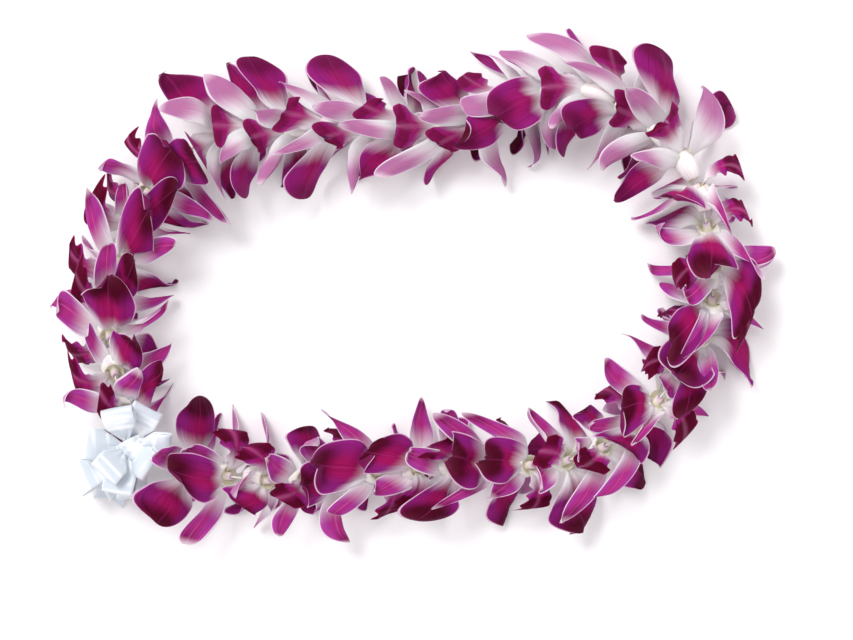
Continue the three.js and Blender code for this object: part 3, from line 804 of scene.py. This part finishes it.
def blade_material(name, palette):
    """A translucent blade, white at its base, with the colours and shares of a palette."""
    shader = Shader(name, 0.55, specular_ior_level=0.03, subsurface_weight=0.4,
                    subsurface_radius=(1.0, 0.8, 0.8), subsurface_scale=0.002,
                    sheen_weight=0.3, sheen_roughness=0.35, sheen_tint=PETAL_SHEEN)
    at = blade_inputs(shader)
    # white at the base, then bright, then deep, and all of this further out in some streaks
    reach = shader.plus(at.along, at.streaks, -STREAK_REACH)
    reach = shader.plus(reach, at.back, -palette.back_white)
    reach = shader.plus(reach, at.rim, -RIM_REACH)
    mottle = shader.times(at.clouds, CLOUD_DEPTH)
    mottle = shader.plus(mottle, at.streaks, STREAK_DEPTH)
    mottle = shader.plus(mottle, at.tone, TONE_DEPTH)
    middle = shader.smooth(at.rim, palette.dark_width, 1.0, palette.middle, palette.rims)
    depth = shader.times(shader.smooth(reach, palette.bright_at, palette.deep_at), middle)
    depth = shader.smooth(shader.times(depth, mottle), 0.05, 0.95)
    # bright parts are redder in the middle and more purple towards the rims
    outwards = shader.plus(at.rim, at.clouds, 0.7)
    bright = shader.mix(shader.smooth(outwards, 0.45, 1.15), palette.bright, palette.purple)
    body = shader.mix(depth, bright, palette.deep)
    # the back is paler, and both sides have fine veins
    body = shader.mix(shader.times(at.back, palette.back_share), body, palette.back)
    body = shader.mix(shader.smooth(at.veins, 0.48, 0.72, 0.0, 0.45), body, palette.vein)
    # painted highlight: a fine pale line is painted along the middle rib, standing for the light it
    # catches
    rib = shader.smooth(at.rim, 0.0, palette.rib_width, palette.rib_share, 0.0)
    body = shader.mix(rib, body, palette.rib)
    # the rims are drawn with a thin pale line, and the tip is pale
    rim = shader.smooth(at.rim, palette.rim_from, 0.5 + 0.5 * palette.rim_from, 0.0, palette.rim_share)
    body = shader.mix(rim, body, palette.rim)
    tip = shader.smooth(at.along, 0.86, 1.0, 0.0, palette.tip_share)
    body = shader.mix(tip, body, palette.rim)
    base = shader.mix(shader.smooth(at.along, 0.02, 0.2), palette.heart, palette.white)
    white = shader.smooth(reach, palette.white_at, palette.bright_at, 1.0, 0.0)
    shader.paint(shader.mix(white, body, base))
    shader.bump(at.veins, 0.0005, 0.7)
    return shader.material


def make_materials():
    """The materials of a sepal, a petal, the lip and the tube, in the order of KINDS.

    A palette's "white_at", "bright_at" and "deep_at" are where along a blade it is last white, where it is
    bright and where it is deep. Its colour is as deep as "middle" says from the middle rib to "dark_width"
    and then changes to what "rims" says. "rim_from" is where the rim's line starts, in half widths as
    "dark_width" and "rib_width" are. "back_white" is how much further out the white reaches on the back,
    and the shares say how much of a colour shows.
    """
    sepal = blade_material("orchid_sepal", SimpleNamespace(
        deep=colour(124, 20, 84), bright=colour(172, 42, 126), purple=colour(160, 54, 146),
        vein=colour(192, 96, 164), rib=colour(210, 120, 188), back=colour(184, 134, 170),
        rim=colour(248, 232, 243), white=WHITE_BASE, heart=GREEN_HEART,
        back_share=0.7, rib_share=0.35, rim_share=0.85, tip_share=0.6, rim_from=0.88, rib_width=0.07,
        dark_width=0.2, middle=1.0, rims=0.4, back_white=0.12, white_at=0.02, bright_at=0.5, deep_at=0.95,
    ))
    petal = blade_material("orchid_petal", SimpleNamespace(
        deep=colour(70, 6, 28), bright=colour(156, 20, 90), purple=colour(134, 30, 116),
        vein=colour(100, 12, 54), rib=colour(168, 50, 120), back=colour(156, 32, 114),
        rim=colour(238, 196, 226), white=WHITE_BASE, heart=GREEN_HEART,
        back_share=0.3, rib_share=0.3, rim_share=0.75, tip_share=0.01, rim_from=0.94, rib_width=0.05,
        dark_width=0.5, middle=1.05, rims=0.85, back_white=0.04, white_at=0.02, bright_at=0.4, deep_at=0.9,
    ))
    lip = blade_material("orchid_lip", SimpleNamespace(
        deep=colour(86, 6, 36), bright=colour(164, 30, 110), purple=colour(148, 36, 128),
        vein=colour(82, 6, 34), rib=colour(232, 170, 216), back=colour(150, 30, 100),
        rim=colour(150, 20, 70), white=colour(244, 240, 242), heart=colour(236, 230, 204),
        back_share=0.4, rib_share=0.12, rim_share=0.3, tip_share=0.0, rim_from=0.92, rib_width=0.2,
        dark_width=0.0, middle=0.5, rims=1.8, back_white=0.1, white_at=0.06, bright_at=0.48, deep_at=0.62,
    ))
    return [sepal, petal, lip, throat_material()]


def throat_material():
    """The tube: pale, with a brown scar where the stem was, and a creamy throat."""
    shader = Shader("orchid_throat", 0.4, specular_ior_level=0.4)
    along = shader.attribute("along")
    around = shader.attribute("across")
    tone = shader.times(shader.attribute("tone"), 19.0)
    mottled = shader.noise(shader.vector(around, along, tone), 3.0)
    pale = shader.mix(mottled, colour(240, 240, 232), colour(249, 248, 248))
    # a lilac flush in lines along the tube
    lines = shader.noise(shader.vector(shader.times(around, 9.0), along, tone), 1.0)
    pale = shader.mix(shader.smooth(lines, 0.45, 0.75, 0.0, 0.6), pale, colour(218, 168, 204))
    pale = shader.mix(shader.smooth(along, 0.4, 0.7), pale, colour(232, 232, 196))
    pale = shader.mix(shader.smooth(along, 0.75, 0.95), pale, colour(236, 214, 226))
    # the scar has a ragged edge
    scar = shader.smooth(shader.plus(along, mottled, 0.06), 0.1, 0.2, 1.0, 0.0)
    shader.paint(shader.mix(scar, pale, colour(164, 120, 84)))
    shader.bump(mottled, 0.0003, 0.4)
    return shader.material


def satin_material():
    """White satin, painted a cool grey-blue that stands for the shade on it, with painted bands of gloss
    across it and paler edges; smooth across the fine threads.
    """
    shader = Shader("white_satin", 0.3, specular_ior_level=0.55, sheen_weight=0.25, anisotropic=0.5)
    along = shader.attribute("along")
    across = shader.attribute("across")
    tone = shader.times(shader.attribute("tone"), 23.0)
    fine = shader.vector(shader.times(along, 9.0), shader.times(across, 3.0), tone)
    threads = shader.noise(fine, 1.0, 3.0)
    # painted shade: the body is a cool grey-blue, the colour of the satin's shaded sides, though the
    # ribbon itself is white; the fine threads vary it a little
    body = shader.mix(threads, colour(198, 209, 219), colour(212, 221, 229))
    # painted highlight: pale bands of painted gloss lie across the ribbon
    broad = shader.vector(shader.times(along, 0.17), shader.times(across, 0.3), tone)
    painted_gloss = shader.noise(broad, 1.0, 1.0)
    body = shader.mix(shader.smooth(painted_gloss, 0.46, 0.62), body, colour(244, 248, 251))
    edge = shader.smooth(shader.math("ABSOLUTE", across), 0.9, 0.97, 0.0, 0.7)
    shader.paint(shader.mix(edge, body, colour(240, 244, 248)))
    shader.bump(threads, 0.00005, 0.5)
    return shader.material


def thread_material():
    """Matt white cotton."""
    shader = Shader("cotton_thread", 0.85, specular_ior_level=0.2)
    place = shader.vector(shader.attribute("along"), shader.attribute("across"), 0.0)
    fibres = shader.noise(place, 4.0, 4.0)
    shader.paint(shader.mix(fibres, colour(226, 222, 212), colour(246, 244, 238)))
    shader.bump(fibres, 0.0001, 0.6)
    return shader.material


# ---- the stage

CAMERA_DISTANCE = 1.8
PHOTO_WIDTH = 0.5118  # how much of the surface the photograph's width shows at the string's height
PHOTO_MIDDLE = (0.0090, -0.0198)
SENSOR = 36
FLOOR_REACH = 3.0
KEY_PLACE = (-0.8, 0.9, 1.5)
KEY_SOFTNESS = 24
KEY_STRENGTH = 1.75
SKY_STRENGTH = 0.95
SHADE_TINT = (1, 0.972, 0.988, 1)  # shadows beside the blooms are a little pink


def make_camera():
    """A camera straight above, which frames the lei as the photograph does."""
    data = bpy.data.cameras.new("camera")
    data.sensor_width = SENSOR
    data.lens = SENSOR * CAMERA_DISTANCE / PHOTO_WIDTH
    camera = bpy.data.objects.new("camera", data)
    camera.location = (*PHOTO_MIDDLE, CAMERA_DISTANCE + STRING_HEIGHT * MM)
    bpy.context.scene.collection.objects.link(camera)
    bpy.context.scene.camera = camera


def make_floor():
    """A large white surface under the lei."""
    mesh = bpy.data.meshes.new("floor")
    corners = [(x * FLOOR_REACH, y * FLOOR_REACH, 0) for x, y in ((-1, -1), (1, -1), (1, 1), (-1, 1))]
    mesh.from_pydata(corners, [], [(0, 1, 2, 3)])
    shader = Shader("floor_white", 0.7, specular_ior_level=0.1)
    grain = shader.noise(shader.node("ShaderNodeNewGeometry").outputs["Position"], 40.0)
    shader.paint(shader.mix(grain, colour(250, 250, 251), colour(252, 252, 252)))
    mesh.materials.append(shader.material)
    floor = bpy.data.objects.new("floor", mesh)
    bpy.context.scene.collection.objects.link(floor)


def make_light():
    """A sun far behind its place, shining on the middle of the lei."""
    data = bpy.data.lights.new("key", "SUN")
    data.angle = math.radians(KEY_SOFTNESS)
    data.energy = KEY_STRENGTH
    light = bpy.data.objects.new("key", data)
    light.location = KEY_PLACE
    aim = -np.array(KEY_PLACE)
    tilt = math.atan2(math.hypot(aim[0], aim[1]), -aim[2])
    light.rotation_euler = (tilt, 0, math.atan2(-aim[0], aim[1]))
    bpy.context.scene.collection.objects.link(light)


def make_stage():
    """The floor, the light and the camera."""
    scene = bpy.context.scene
    scene.view_settings.view_transform = "Standard"
    world = bpy.data.worlds.new("studio")
    world.use_nodes = True
    world.node_tree.nodes["Background"].inputs["Color"].default_value = SHADE_TINT
    world.node_tree.nodes["Background"].inputs["Strength"].default_value = SKY_STRENGTH
    scene.world = world
    make_floor()
    make_light()
    make_camera()


make_stage()
bloom_materials = make_materials()
for each in BLOOMS:
    make_bloom(each, bloom_materials)
make_bow(satin_material())
make_string(thread_material())
